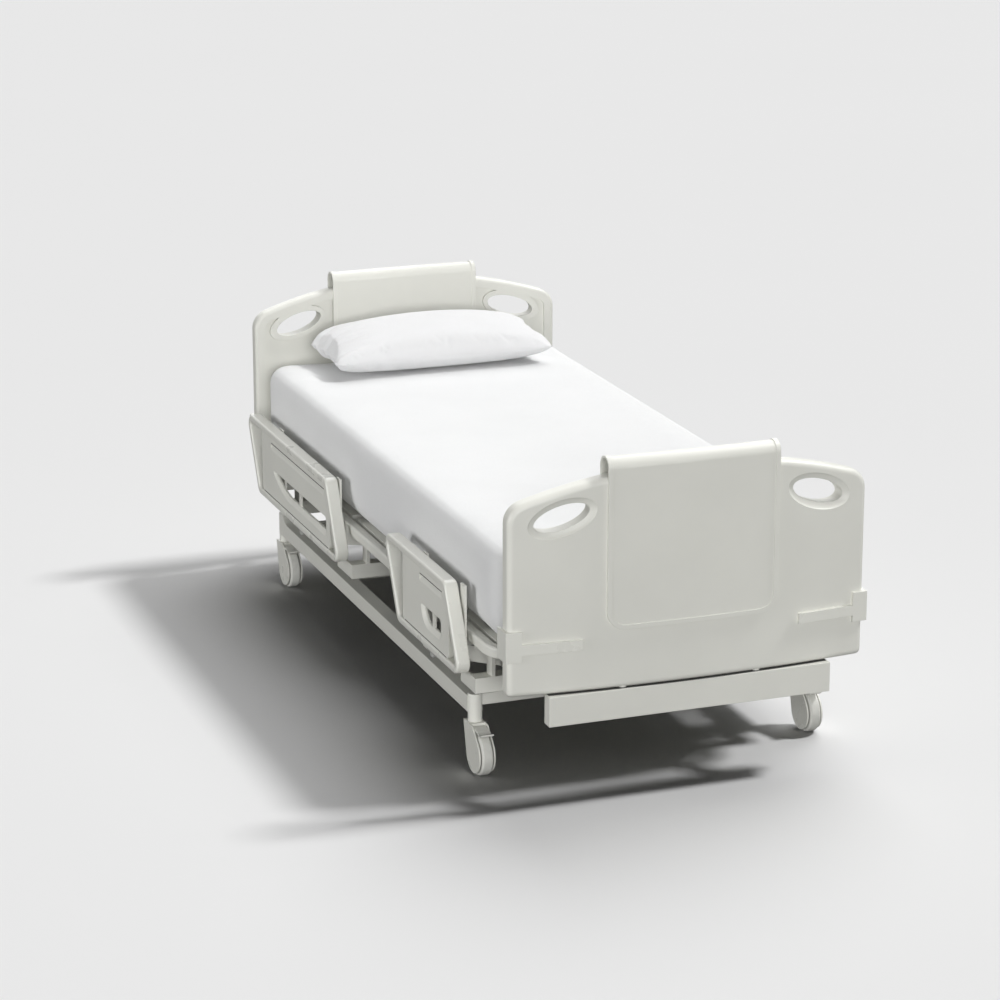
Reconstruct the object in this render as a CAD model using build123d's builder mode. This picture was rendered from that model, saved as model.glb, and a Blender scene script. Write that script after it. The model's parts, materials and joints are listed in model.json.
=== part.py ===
from build123d import *
import os
from math import cos, radians, sin, tan

# Adjustable hospital bed, in millimetres.
# +Y points to the head end, +X to the bed's right seen from the foot, +Z up.
# The origin is on the floor under the middle of the bed.

os.makedirs("parts", exist_ok=True)

# ---------------------------------------------------------------- driving dimensions
HALF_LENGTH = 1128            # middle of the bed to the outermost face of each end
RAIL_OUTER_X = 530            # outer face of the side rails
RAIL_DEPTH = 36               # depth of a side rail's loop, across the bed

WHEEL_RADIUS = 56
WHEEL_WIDTH = 30
CASTOR_TRAIL = 43             # axle behind the swivel axis
CASTOR_X = 455
CASTOR_YS = {"foot": -798, "head": 850}

BASE_RAIL_X = (435, 475)
BASE_RAIL_Z = (153, 198)

LIFT_ARM_LENGTH = 420
LIFT_ARM_REST = 15            # degrees above level in the lowest position
LIFT_ARM_X = (355, 365)
LIFT_PIVOT_Z = 175
LIFT_PIVOT_YS = {"head": 700, "foot": -400}

DECK_Z = (350, 378)           # perimeter frame
DECK_HALF_WIDTH = 478
DECK_YS = (-1008, 1030)
DECK_CORNER = 95
DECK_BAR = 30
MEMBER_Z = (349, 365)         # cross members, just under the moving panels
PANEL_Z = (366, 378)          # platform panels

HINGE_Z = 362                 # platform hinges
BACK_HINGE_Y = 220
KNEE_HINGE_Y = -60
CALF_HINGE_Y = -380
HINGE_XS = (-250, 250)
BACK_TRAVEL = 65              # degrees
KNEE_TRAVEL = 35
LIFT_TRAVEL = 55

MATTRESS_Z = (381, 635)
MATTRESS_HALF_WIDTH = 474
MATTRESS_YS = (-1018, 1052)
MATTRESS_CORNER = 80

BOARD_BOW = 4250              # plan radius of an end board's outer face
BOARD_THICKNESS = 45
BOARD_HALF_WIDTH = 478
BOARD_Z = (290, 850)          # bottom edge and crown
BOARD_SHOULDER_Z = 768        # where the crown's arc would meet the straight sides
BEAM_HALF_WIDTH = 379
BEAM_Z = (212, 289)
BEAM_DEPTH = 35

RUNNING = 0.05                # radial clearance of a pin in its bore
LEVER_RADIUS = 95             # actuator levers
LEVER_PIN_RADIUS = 5
ROD_RADIUS = 8
PIVOT_RADIUS = 10             # lift arm pivots
HINGE_PIN_RADIUS = 6
BACK_ACTUATOR_X = 120
KNEE_ACTUATOR_X = -120

# ---------------------------------------------------------------- derived places
BEAD_PROUD = 6                                  # accent panel's bead over the board
BOARD_FACE = HALF_LENGTH - BEAD_PROUD           # outer face of a board at its middle
BOW_CENTRE_Y = BOARD_BOW - BOARD_FACE           # of the foot board's outer face
WHEEL_CLEAR_Z = 2 * WHEEL_RADIUS + 6
LIFT_REACH = LIFT_ARM_LENGTH * cos(radians(LIFT_ARM_REST))
LIFT_RISE = LIFT_ARM_LENGTH * sin(radians(LIFT_ARM_REST))


# ---------------------------------------------------------------- helpers
def block(x, y, z, mode=Mode.ADD):
    """Add a box between a low and a high value on each axis."""
    centre = ((x[0] + x[1]) / 2, (y[0] + y[1]) / 2, (z[0] + z[1]) / 2)
    with Locations(centre):
        Box(x[1] - x[0], y[1] - y[0], z[1] - z[0], mode=mode)


def rod_x(x, y, z, radius, mode=Mode.ADD):
    """Add a round bar along X."""
    with Locations(Location(((x[0] + x[1]) / 2, y, z), (0, 90, 0))):
        Cylinder(radius, x[1] - x[0], mode=mode)


def rod_y(x, y, z, radius, mode=Mode.ADD):
    """Add a round bar along Y."""
    with Locations(Location((x, (y[0] + y[1]) / 2, z), (90, 0, 0))):
        Cylinder(radius, y[1] - y[0], mode=mode)


def rod_z(x, y, z, radius, mode=Mode.ADD):
    """Add a round bar along Z."""
    with Locations((x, y, (z[0] + z[1]) / 2)):
        Cylinder(radius, z[1] - z[0], mode=mode)


def plate_x(points, x, mode=Mode.ADD):
    """Add a flat plate square to X, from its (y, z) corners."""
    with BuildSketch(Plane.YZ.offset(x[0])) as outline:
        Polygon(*points, align=None)
    extrude(outline.sketch, amount=x[1] - x[0], mode=mode)


def link_x(ends, x):
    """Add a flat link square to X around (y, z, radius) ends."""
    with BuildSketch(Plane.YZ.offset(x[0])) as outline:
        for y, z, radius in ends:
            with Locations((y, z)):
                Circle(radius)
        make_hull()
    extrude(outline.sketch, amount=x[1] - x[0])


def span(first, second):
    """Two values in rising order."""
    return (min(first, second), max(first, second))


def both(x):
    """The given X range and its mirror image."""
    return (x, (-x[1], -x[0]))


def save(part, name):
    """Label a finished piece and write it."""
    part.label = name
    export_step(part, f"parts/{name}.step")


# ---------------------------------------------------------------- actuator levers
YOKE_HALF = 18                # half length of a rod's slotted yoke
MOUTH_GAP = 14                # least distance from the yoke to the tube's mouth
TUBE_LENGTH = 190
GEARBOX_LENGTH = 90
ACTUATOR_LENGTH = YOKE_HALF + MOUTH_GAP + TUBE_LENGTH + GEARBOX_LENGTH


def lever_pin(pivot_y, pivot_z, tilt, up):
    """Place of a lever's pin, tilted in degrees from the vertical towards +Y."""
    rise = LEVER_RADIUS * cos(radians(tilt))
    return pivot_y + LEVER_RADIUS * sin(radians(tilt)), pivot_z + (rise if up else -rise)


def arc_height(travel):
    """Height of the arc of a lever's pin, swung evenly about the vertical."""
    return LEVER_RADIUS * (1 - cos(radians(travel / 2)))


def lever_stroke(travel):
    """Travel of a lever's pin along Y."""
    return 2 * LEVER_RADIUS * sin(radians(travel / 2))


LIFT_PIN = lever_pin(LIFT_PIVOT_YS["head"], LIFT_PIVOT_Z, -LIFT_TRAVEL / 2, up=True)
BACK_PIN = lever_pin(BACK_HINGE_Y, HINGE_Z, -BACK_TRAVEL / 2, up=False)
KNEE_PIN = lever_pin(KNEE_HINGE_Y, HINGE_Z, KNEE_TRAVEL / 2, up=False)
LIFT_MID_Z = LIFT_PIN[1] + arc_height(LIFT_TRAVEL) / 2
BACK_MID_Z = BACK_PIN[1] - arc_height(BACK_TRAVEL) / 2
KNEE_MID_Z = KNEE_PIN[1] - arc_height(KNEE_TRAVEL) / 2


# ---------------------------------------------------------------- base
STEM_RADIUS = 18.5
STEM_Z = (130, 204)
FORK_PIN_RADIUS = 8
HEEL_HEIGHT = 22              # upstand at the head end of each base rail

with BuildPart() as base_side_rails:
    for x in both(BASE_RAIL_X):
        block(x, (CASTOR_YS["foot"], CASTOR_YS["head"]), BASE_RAIL_Z)
        heel_end = CASTOR_YS["head"]
        heel_top = BASE_RAIL_Z[1] + HEEL_HEIGHT
        with BuildSketch(Plane.YZ.offset(x[0])) as heel:
            with BuildLine():
                Polyline(
                    (heel_end - 84, BASE_RAIL_Z[1]),
                    (heel_end, BASE_RAIL_Z[1]),
                    (heel_end, heel_top),
                    (heel_end - 38, heel_top),
                )
                RadiusArc(
                    (heel_end - 38, heel_top),
                    (heel_end - 84, BASE_RAIL_Z[1]),
                    60,
                )
            make_face()
        extrude(amount=x[1] - x[0])
    fillet(base_side_rails.edges().filter_by(Axis.Y).filter_by_position(
        Axis.Z, BASE_RAIL_Z[0] - 1, BASE_RAIL_Z[0] + 1), radius=3)
    for y in CASTOR_YS.values():
        for x in (-CASTOR_X, CASTOR_X):
            rod_z(x, y, (100, 260), STEM_RADIUS, mode=Mode.SUBTRACT)
            outside = (y - 40, y) if y < 0 else (y, y + 40)
            block((x - 30, x + 30), outside, (100, 260), mode=Mode.SUBTRACT)
save(base_side_rails.part, "base_side_rails")

CROSS_TUBE_Z = (160, 190)
LIFT_CLEVIS_Y = LIFT_PIN[0] - ACTUATOR_LENGTH - 12      # middle of the post behind the lift motor

with BuildPart() as base_cross_tubes:
    for y in (-760, -100, LIFT_CLEVIS_Y, 800):
        block((-BASE_RAIL_X[0], BASE_RAIL_X[0]), (y - 15, y + 15), CROSS_TUBE_Z)
    block((-14, 14), (LIFT_CLEVIS_Y - 12, LIFT_CLEVIS_Y + 12), (CROSS_TUBE_Z[1], LIFT_MID_Z + 20))
save(base_cross_tubes.part, "base_cross_tubes")

with BuildPart() as castor_stem_tubes:
    for y in CASTOR_YS.values():
        for x in (-CASTOR_X, CASTOR_X):
            rod_z(x, y, STEM_Z, STEM_RADIUS)
    fillet(castor_stem_tubes.edges().filter_by(GeomType.CIRCLE).group_by(Axis.Z)[-1], radius=2.5)
    for y in CASTOR_YS.values():
        for x in (-CASTOR_X, CASTOR_X):
            rod_z(x, y, (STEM_Z[0] - 1, STEM_Z[1] - 10), FORK_PIN_RADIUS + RUNNING, mode=Mode.SUBTRACT)
save(castor_stem_tubes.part, "castor_stem_tubes")

PIVOT_BLOCK_X = (395, 435)
with BuildPart() as lift_pivot_blocks:
    for y in LIFT_PIVOT_YS.values():
        for x in both(PIVOT_BLOCK_X):
            block(x, (y - 25, y + 25), (LIFT_PIVOT_Z - 24, LIFT_PIVOT_Z + 24))
    fillet(lift_pivot_blocks.edges().filter_by(Axis.X), radius=8)
    for y in LIFT_PIVOT_YS.values():
        rod_x((-440, 440), y, LIFT_PIVOT_Z, PIVOT_RADIUS + RUNNING, mode=Mode.SUBTRACT)
save(lift_pivot_blocks.part, "lift_pivot_blocks")


# ---------------------------------------------------------------- castors
FORK_PLATE = 4
FORK_COVER = 49               # the side plates hide the wheel to this radius
FORK_INNER = WHEEL_WIDTH / 2 + 3
FORK_OUTER = FORK_INNER + FORK_PLATE
CROWN_Z = (WHEEL_CLEAR_Z, STEM_Z[0] - 0.5)
AXLE_RADIUS = 6
PEDAL_PIN = (-33, WHEEL_CLEAR_Z + 1)     # behind the swivel axis, and above the floor
PEDAL_PIN_RADIUS = 3


def castor_fork(x, y):
    """Swivel pin, crown, two side plates, axle and the pedal's pin."""
    with BuildPart() as fork:
        rod_z(x, y, (CROWN_Z[1] - 1, STEM_Z[1] - 14), FORK_PIN_RADIUS)
        block((x - FORK_OUTER, x + FORK_OUTER), (y - 24, y + 24), CROWN_Z)
        for side in ((x - FORK_OUTER, x - FORK_INNER), (x + FORK_INNER, x + FORK_OUTER)):
            link_x(
                [
                    (y - CASTOR_TRAIL, WHEEL_RADIUS, FORK_COVER),
                    (y - 18, CROWN_Z[1] - 6.6, 6),
                    (y + 18, CROWN_Z[1] - 6.6, 6),
                    (y + PEDAL_PIN[0], CROWN_Z[1] - 8.6, 8),
                ],
                side,
            )
        across = (x - FORK_OUTER, x + FORK_OUTER)
        rod_x(across, y - CASTOR_TRAIL, WHEEL_RADIUS, AXLE_RADIUS)
        rod_x(across, y + PEDAL_PIN[0], PEDAL_PIN[1], PEDAL_PIN_RADIUS)
    return fork.part


def castor_wheel(x, y):
    """Hub with a dished web, and the tyre bonded round it."""
    axle_y = y - CASTOR_TRAIL
    rim = WHEEL_RADIUS - 11
    plane = Plane(origin=(x, axle_y, WHEEL_RADIUS), x_dir=(0, 1, 0), z_dir=(1, 0, 0))
    with BuildPart() as hub:
        with BuildSketch(plane.offset(-WHEEL_WIDTH / 2)):
            Circle(rim)
            Circle(AXLE_RADIUS + RUNNING, mode=Mode.SUBTRACT)
        extrude(amount=WHEEL_WIDTH)
        for face in (WHEEL_WIDTH / 2 - 8, -WHEEL_WIDTH / 2):
            with BuildSketch(plane.offset(face)):
                Circle(rim - 5)
                Circle(15, mode=Mode.SUBTRACT)
            extrude(amount=8, mode=Mode.SUBTRACT)
    with BuildPart() as tyre:
        with BuildSketch(plane.offset(-WHEEL_WIDTH / 2)):
            Circle(WHEEL_RADIUS)
            Circle(rim, mode=Mode.SUBTRACT)
        extrude(amount=WHEEL_WIDTH)
        fillet(tyre.edges().filter_by(GeomType.CIRCLE).filter_by(lambda edge: edge.radius > rim + 1), radius=7)
    return Compound(children=[hub.part, tyre.part])


def castor_pedal(x, y):
    """Brake pedal: a knuckle on its pin and a foot plate over the wheel's back."""
    pin_y = y + PEDAL_PIN[0]
    pin_z = PEDAL_PIN[1]
    width = (x - FORK_INNER + 1, x + FORK_INNER - 1)
    with BuildPart() as pedal:
        with BuildSketch(Plane.YZ.offset(width[0])):
            with BuildLine():
                Polyline(
                    (pin_y, pin_z + 5.5),
                    (pin_y - 22, pin_z + 3),
                    (pin_y - 46, pin_z - 4),
                    (pin_y - 60, pin_z + 3),
                    (pin_y - 60, pin_z - 1),
                    (pin_y - 47, pin_z - 8),
                    (pin_y - 22, pin_z - 1),
                    (pin_y, pin_z + 1),
                    close=True,
                )
            make_face()
            with Locations((pin_y, pin_z)):
                Circle(5.5)
                Circle(PEDAL_PIN_RADIUS + RUNNING, mode=Mode.SUBTRACT)
        extrude(amount=width[1] - width[0])
    return pedal.part


for end, stem_y in CASTOR_YS.items():
    for side, stem_x in (("left", -CASTOR_X), ("right", CASTOR_X)):
        save(castor_fork(stem_x, stem_y), f"castor_fork_{end}_{side}")
        save(castor_wheel(stem_x, stem_y), f"castor_wheel_{end}_{side}")
        save(castor_pedal(stem_x, stem_y), f"castor_pedal_{end}_{side}")


# ---------------------------------------------------------------- lift arms
LEVER_PLATES = (ROD_RADIUS + 1, ROD_RADIUS + 9)      # either side of the rod's yoke
OPEN_PIVOT_CLEARANCE = 0.3                           # where the lift's loop is opened


def lift_arms(pivot_y, lever):
    """Torque tube, two arms pointing to the foot end, journals and top pins."""
    top = (pivot_y - LIFT_REACH, LIFT_PIVOT_Z + LIFT_RISE)
    with BuildPart() as arms:
        rod_x((-LIFT_ARM_X[1], LIFT_ARM_X[1]), pivot_y, LIFT_PIVOT_Z, 17)
        for x in both(LIFT_ARM_X):
            link_x([(pivot_y, LIFT_PIVOT_Z, 22), (top[0], top[1], 19)], x)
        for x in both((LIFT_ARM_X[1] - 1, PIVOT_BLOCK_X[1] - 2)):
            rod_x(x, pivot_y, LIFT_PIVOT_Z, PIVOT_RADIUS)
        for x in both((LIFT_ARM_X[1] - 1, 386)):
            rod_x(x, top[0], top[1], PIVOT_RADIUS)
        if lever:
            for x in both(LEVER_PLATES):
                link_x([(pivot_y, LIFT_PIVOT_Z, 20), (LIFT_PIN[0], LIFT_PIN[1], 11)], x)
            rod_x((-LEVER_PLATES[1], LEVER_PLATES[1]), LIFT_PIN[0], LIFT_PIN[1], LEVER_PIN_RADIUS)
    return arms.part


save(lift_arms(LIFT_PIVOT_YS["head"], lever=True), "head_lift_arms")
save(lift_arms(LIFT_PIVOT_YS["foot"], lever=False), "foot_lift_arms")


# ---------------------------------------------------------------- linear actuators
TUBE_RADIUS = 17
SLOT_SIDE = 1.9               # room each side of the lever's pin in its slot


def actuator(x, pin_y, mid_z, facing, stroke, arc):
    """Motor housing and slotted rod of one actuator.

    facing is +1 where the rod points to the head end, -1 to the foot end, and
    stroke is the pin's travel along Y. The rod reaches the lever's pin with an
    upright slot, long enough for the height of the pin's arc.
    """
    extends = stroke * facing > 0
    gap = MOUTH_GAP if extends else MOUTH_GAP + abs(stroke)
    mouth = pin_y - facing * (YOKE_HALF + gap)
    tube_end = mouth - facing * TUBE_LENGTH
    box_end = tube_end - facing * GEARBOX_LENGTH
    rod_end = mouth - facing * (150 if extends else 60)
    with BuildPart() as housing:
        rod_y(x, span(mouth, tube_end), mid_z, TUBE_RADIUS)
        block((x - 18, x + 18), span(tube_end, box_end), (mid_z - 22, mid_z + 22))
        rod_y(x - 38, span(tube_end + facing * 40, box_end + facing * 2), mid_z, 23)
        rod_y(x, span(mouth + facing, tube_end + facing * 15), mid_z, ROD_RADIUS + RUNNING,
              mode=Mode.SUBTRACT)
    with BuildPart() as rod:
        rod_y(x, span(pin_y, rod_end), mid_z, ROD_RADIUS)
        half_slot = LEVER_PIN_RADIUS + arc / 2 + 2
        block((x - ROD_RADIUS, x + ROD_RADIUS), (pin_y - YOKE_HALF, pin_y + YOKE_HALF),
              (mid_z - half_slot - 7, mid_z + half_slot + 7))
        slot_plane = Plane(origin=(x - ROD_RADIUS - 1, pin_y, mid_z), x_dir=(0, 0, 1), z_dir=(1, 0, 0))
        with BuildSketch(slot_plane):
            SlotOverall(2 * half_slot, 2 * (LEVER_PIN_RADIUS + SLOT_SIDE))
        extrude(amount=2 * ROD_RADIUS + 2, mode=Mode.SUBTRACT)
    return housing.part, rod.part


lift_motor, lift_rod = actuator(
    0, LIFT_PIN[0], LIFT_MID_Z, 1, lever_stroke(LIFT_TRAVEL), arc_height(LIFT_TRAVEL))
back_motor, back_rod = actuator(
    BACK_ACTUATOR_X, BACK_PIN[0], BACK_MID_Z, -1, lever_stroke(BACK_TRAVEL), arc_height(BACK_TRAVEL))
knee_motor, knee_rod = actuator(
    KNEE_ACTUATOR_X, KNEE_PIN[0], KNEE_MID_Z, 1, -lever_stroke(KNEE_TRAVEL), arc_height(KNEE_TRAVEL))
save(lift_motor, "lift_motor")
save(lift_rod, "lift_rod")
save(back_motor, "back_motor")
save(back_rod, "back_rod")
save(knee_motor, "knee_motor")
save(knee_rod, "knee_rod")


# ---------------------------------------------------------------- deck frame
with BuildPart() as deck_frame:
    deck_centre = (0, (DECK_YS[0] + DECK_YS[1]) / 2)
    with BuildSketch(Plane.XY.offset(DECK_Z[0])):
        with Locations(deck_centre):
            RectangleRounded(2 * DECK_HALF_WIDTH, DECK_YS[1] - DECK_YS[0], DECK_CORNER)
            RectangleRounded(2 * (DECK_HALF_WIDTH - DECK_BAR), DECK_YS[1] - DECK_YS[0] - 2 * DECK_BAR,
                             DECK_CORNER - DECK_BAR, mode=Mode.SUBTRACT)
    extrude(amount=DECK_Z[1] - DECK_Z[0])
    fillet(deck_frame.edges().group_by(Axis.Z)[-1], radius=7)
    fillet(deck_frame.edges().group_by(Axis.Z)[0], radius=3)
save(deck_frame.part, "deck_frame")

BACK_CLEVIS_Y = BACK_PIN[0] + lever_stroke(BACK_TRAVEL) + ACTUATOR_LENGTH
KNEE_CLEVIS_Y = KNEE_PIN[0] - lever_stroke(KNEE_TRAVEL) - ACTUATOR_LENGTH
LIFT_TOP_YS = {end: y - LIFT_REACH for end, y in LIFT_PIVOT_YS.items()}
LIFT_TOP_Z = LIFT_PIVOT_Z + LIFT_RISE
DECK_PLATE_X = (372, 382)
CLEVIS_LENGTH = 46            # hanger behind each platform motor

with BuildPart() as deck_cross_members:
    inner = DECK_HALF_WIDTH - DECK_BAR
    for y in (178, LIFT_TOP_YS["head"], BACK_CLEVIS_Y + CLEVIS_LENGTH - 13, 880,
              -20, KNEE_CLEVIS_Y - CLEVIS_LENGTH + 13, -660, LIFT_TOP_YS["foot"]):
        block((-inner, inner), (y - 13, y + 13), MEMBER_Z)
    for x, y, away, mid_z in (
        (BACK_ACTUATOR_X, BACK_CLEVIS_Y, CLEVIS_LENGTH, BACK_MID_Z),
        (KNEE_ACTUATOR_X, KNEE_CLEVIS_Y, -CLEVIS_LENGTH, KNEE_MID_Z),
    ):
        block((x - 10, x + 10), span(y, y + away), (mid_z - 18, MEMBER_Z[0]))
    for end, y in LIFT_TOP_YS.items():
        clearance = RUNNING if end == "head" else OPEN_PIVOT_CLEARANCE
        for x in both(DECK_PLATE_X):
            plate_x(
                [(y - 26, MEMBER_Z[0] + 1), (y + 26, MEMBER_Z[0] + 1),
                 (y + 18, LIFT_TOP_Z - 19), (y - 18, LIFT_TOP_Z - 19)],
                x,
            )
            rod_x((x[0] - 1, x[1] + 1), y, LIFT_TOP_Z, PIVOT_RADIUS + clearance, mode=Mode.SUBTRACT)
save(deck_cross_members.part, "deck_cross_members")


# ---------------------------------------------------------------- end beams
POST_X = 180
POST_Y = BOARD_FACE - 19
POST_RADIUS = 11
SOCKET_DEPTH = 66
BRACKET_XS = ((316, 326), (-326, -316))
ACCESSORY_SPACING = 704       # two holes in the head beam
ACCESSORY_Z = 250
ACCESSORY_RADIUS = 5.5
BEAM_INNER_Y = BOARD_FACE - BEAM_DEPTH


def end_beam(end):
    """Box beam under a board, its two brackets to the deck frame, and its sockets.

    The foot beam is made first and mirrored for the head end.
    """
    frame_y = -DECK_YS[0] if end == "foot" else DECK_YS[1]
    with BuildPart() as beam:
        block((-BEAM_HALF_WIDTH, BEAM_HALF_WIDTH), (-BOARD_FACE, -BEAM_INNER_Y), BEAM_Z)
        fillet(beam.edges(), radius=1.5)
        for x in BRACKET_XS:
            plate_x(
                [(-BEAM_INNER_Y - 2, BEAM_Z[0] + 4), (-BEAM_INNER_Y - 2, BEAM_Z[1] - 4),
                 (-BEAM_INNER_Y + 28, BEAM_Z[1] - 4), (-frame_y - 4, DECK_Z[0]), (-frame_y + 60, DECK_Z[0]),
                 (-frame_y + 50, DECK_Z[0] - 20), (-frame_y - 2, BEAM_Z[0] + 60),
                 (-BEAM_INNER_Y + 30, BEAM_Z[0] + 4)],
                x,
            )
        for x in (-POST_X, POST_X):
            rod_z(x, -POST_Y, (BEAM_Z[1] - SOCKET_DEPTH, BEAM_Z[1] + 1), POST_RADIUS + RUNNING,
                  mode=Mode.SUBTRACT)
        if end == "head":
            for x in (-ACCESSORY_SPACING / 2, ACCESSORY_SPACING / 2):
                rod_y(x, (-BOARD_FACE - 1, -BEAM_INNER_Y + 1), ACCESSORY_Z, ACCESSORY_RADIUS,
                      mode=Mode.SUBTRACT)
    return beam.part if end == "foot" else beam.part.mirror(Plane.XZ)


for end in ("foot", "head"):
    save(end_beam(end), f"{end}_end_beam")


# ---------------------------------------------------------------- side rail carriers
CARRIER_Z = (238, 278)
CARRIER_BAR = 40
GUIDE_X = (484, 490)
GUIDE_HALF = 15
GUIDE_TOP = 497
RAIL_Z = (280, 500)
# each carrier: the crossbar's place and its guides' place along the bed
CARRIERS = {"foot": ((-878, -805), (-520, -520)), "head": ((118, 215), (765, 765))}

for end, bars in CARRIERS.items():
    with BuildPart() as carriers:
        for bar_y, guide_y in bars:
            half = CARRIER_BAR / 2
            block((-GUIDE_X[0], GUIDE_X[0]), (bar_y - half, bar_y + half), CARRIER_Z)
            for x in both((436, 446)):
                block(x, (bar_y - half + 2, bar_y + half - 2), (CARRIER_Z[1] - 1, DECK_Z[0]))
            foot_ys = (min(bar_y - half, guide_y - GUIDE_HALF), max(bar_y + half, guide_y + GUIDE_HALF))
            for x in both(GUIDE_X):
                block(x, foot_ys, CARRIER_Z)
                block(x, (guide_y - GUIDE_HALF, guide_y + GUIDE_HALF), (CARRIER_Z[1] - 1, GUIDE_TOP))
    save(carriers.part, f"{end}_rail_carriers")


# ---------------------------------------------------------------- side rails
RAIL_INNER_X = RAIL_OUTER_X - RAIL_DEPTH
RAIL_BAR = 20                 # visible width of the loop's bar
RAIL_LEAN = 114               # the loop's top is this far nearer the head
RAIL_CORNER = 30
RAIL_BOTTOMS = {"foot": (-893, -408), "head": (94, 874)}
INSERT_X = (512, 525)
INSERT_ENDS = {"foot": (-800, -442), "head": (185, 842)}
GRIPS = {"foot": (-748, -575), "head": (236, 752)}
GRIP_Z = (443, 465)
GRIP_DEPTH = 8
WINDOWS = {"foot": (-728, -599), "head": (232, 728)}
WINDOW_TAPERS = {"foot": 48, "head": 169}     # the sill's rise towards the head
WINDOW_DIVIDERS = {"foot": -666, "head": 487}
WINDOW_Z = (343, 387)
WINDOW_CORNER = 14
SILL_BEVEL = 15
DIVIDER_HALF = 6
DIVIDER_DEPTH = 7
SLIDER_Z = (282, 318)
FIT = 0.3                     # room round a guide in its slider


def loop_outline(end):
    """Corners of a leaning loop, as (y, z)."""
    low, high = RAIL_BOTTOMS[end]
    return [(low, RAIL_Z[0]), (high, RAIL_Z[0]), (high + RAIL_LEAN, RAIL_Z[1]), (low + RAIL_LEAN, RAIL_Z[1])]


def rail_loop(end):
    """Left-hand loop of rectangular bar, with a slider for each guide."""
    with BuildPart() as loop:
        with BuildSketch(Plane.YZ.offset(-RAIL_OUTER_X)) as outline:
            Polygon(*loop_outline(end), align=None)
            fillet(outline.vertices(), radius=RAIL_CORNER)
            offset(amount=-RAIL_BAR, mode=Mode.SUBTRACT)
        extrude(amount=RAIL_DEPTH)
        fillet(loop.edges().group_by(Axis.X)[0], radius=6)
        fillet(loop.edges().group_by(Axis.X)[-1], radius=4)
        for _, guide_y in CARRIERS[end]:
            block((-RAIL_INNER_X - 6, -GUIDE_X[0] + 3.5), (guide_y - 23, guide_y + 23), SLIDER_Z)
            block((-GUIDE_X[1] - FIT, -GUIDE_X[0] + FIT),
                  (guide_y - GUIDE_HALF - FIT, guide_y + GUIDE_HALF + FIT),
                  (SLIDER_Z[0] - 1, SLIDER_Z[1] + 1), mode=Mode.SUBTRACT)
    return loop.part


def window_outline(end, grow):
    """Boat-shaped window as a face: a level top, and a sill that rises towards the head."""
    low, high = WINDOWS[end]
    top = WINDOW_Z[1]
    sill = WINDOW_Z[0] - grow
    with BuildSketch() as boat:
        with BuildLine():
            Polyline((high - WINDOW_TAPERS[end], sill), (low - grow, sill), (low - grow, top), (high + grow, top))
            TangentArc((high - WINDOW_TAPERS[end], sill), (high + grow, top), tangent=(1, 0))
        make_face()
        fillet(boat.vertices().group_by(Axis.X)[0], radius=WINDOW_CORNER)
        fillet(boat.vertices().sort_by(Axis.X)[-1], radius=5)
    return boat.sketch


def rail_insert(end):
    """Left-hand insert panel with its finger grip and divided window."""
    low, high = INSERT_ENDS[end]
    outer = -INSERT_X[1]
    depth = INSERT_X[1] - INSERT_X[0]
    plane = Plane.YZ.offset(outer)
    with BuildPart() as insert:
        with BuildSketch(plane) as outline:
            Polygon(*loop_outline(end), align=None)
            fillet(outline.vertices(), radius=RAIL_CORNER)
            offset(amount=-RAIL_BAR - 0.6)
            with Locations(((low + high) / 2, (RAIL_Z[0] + RAIL_Z[1]) / 2)):
                Rectangle(high - low, RAIL_Z[1] - RAIL_Z[0], mode=Mode.INTERSECT)
            fillet(outline.vertices().group_by(Axis.Y)[0], radius=16)
        extrude(amount=depth)
        with BuildSketch(Plane.XZ.offset(-GRIPS[end][1])):
            Polygon((outer - 1, GRIP_Z[0] - 2), (outer - 1, GRIP_Z[1]), (outer + GRIP_DEPTH, GRIP_Z[1]),
                    (outer + GRIP_DEPTH, GRIP_Z[1] - 4), align=None)
        extrude(amount=GRIPS[end][1] - GRIPS[end][0], mode=Mode.SUBTRACT)
        with BuildSketch(plane):
            add(window_outline(end, 0))
        extrude(amount=depth, mode=Mode.SUBTRACT)
        for level, grow in ((-1, SILL_BEVEL), (7, 0)):
            with BuildSketch(plane.offset(level)):
                add(window_outline(end, grow))
        loft(mode=Mode.SUBTRACT)
        divider = WINDOW_DIVIDERS[end]
        block((-INSERT_X[0] - DIVIDER_DEPTH, -INSERT_X[0]),
              (divider - DIVIDER_HALF, divider + DIVIDER_HALF), (WINDOW_Z[0] - 6, WINDOW_Z[1] + 4))
    return insert.part


def rail_latch(end):
    """Left-hand release slide under the loop's lower bar."""
    middle = sum(RAIL_BOTTOMS[end]) / 2
    with BuildPart() as latch:
        block((-520, -504), (middle - 35, middle + 35), (RAIL_Z[0] - 9, RAIL_Z[0] - 0.5))
        block((-520, -504), (middle - 12, middle + 12), (RAIL_Z[0] - 19, RAIL_Z[0] - 8))
        fillet(latch.edges().filter_by(Axis.Z), radius=3)
    return latch.part


for end in ("foot", "head"):
    for kind, piece in (("frame", rail_loop(end)), ("insert", rail_insert(end)), ("latch", rail_latch(end))):
        save(piece, f"rail_{kind}_{end}_left")
        save(piece.mirror(Plane.YZ), f"rail_{kind}_{end}_right")


# ---------------------------------------------------------------- platform panels
KNUCKLE_RADIUS = 13
MOVING_KNUCKLE = 28           # half length
FIXED_KNUCKLE = (30, 46)
PANEL_HALF_WIDTH = 442


def slots(y_range, rows):
    """Cut rows of vent slots in the panel under construction."""
    pitch = (y_range[1] - y_range[0]) / rows
    middle = (0, (y_range[0] + y_range[1]) / 2)
    with BuildSketch(Plane.XY.offset(PANEL_Z[0] - 2)) as pattern:
        with Locations(middle):
            with GridLocations(170, pitch, 5, rows):
                SlotOverall(120, 22)
    extrude(pattern.sketch, amount=PANEL_Z[1] - PANEL_Z[0] + 4, mode=Mode.SUBTRACT)


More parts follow.
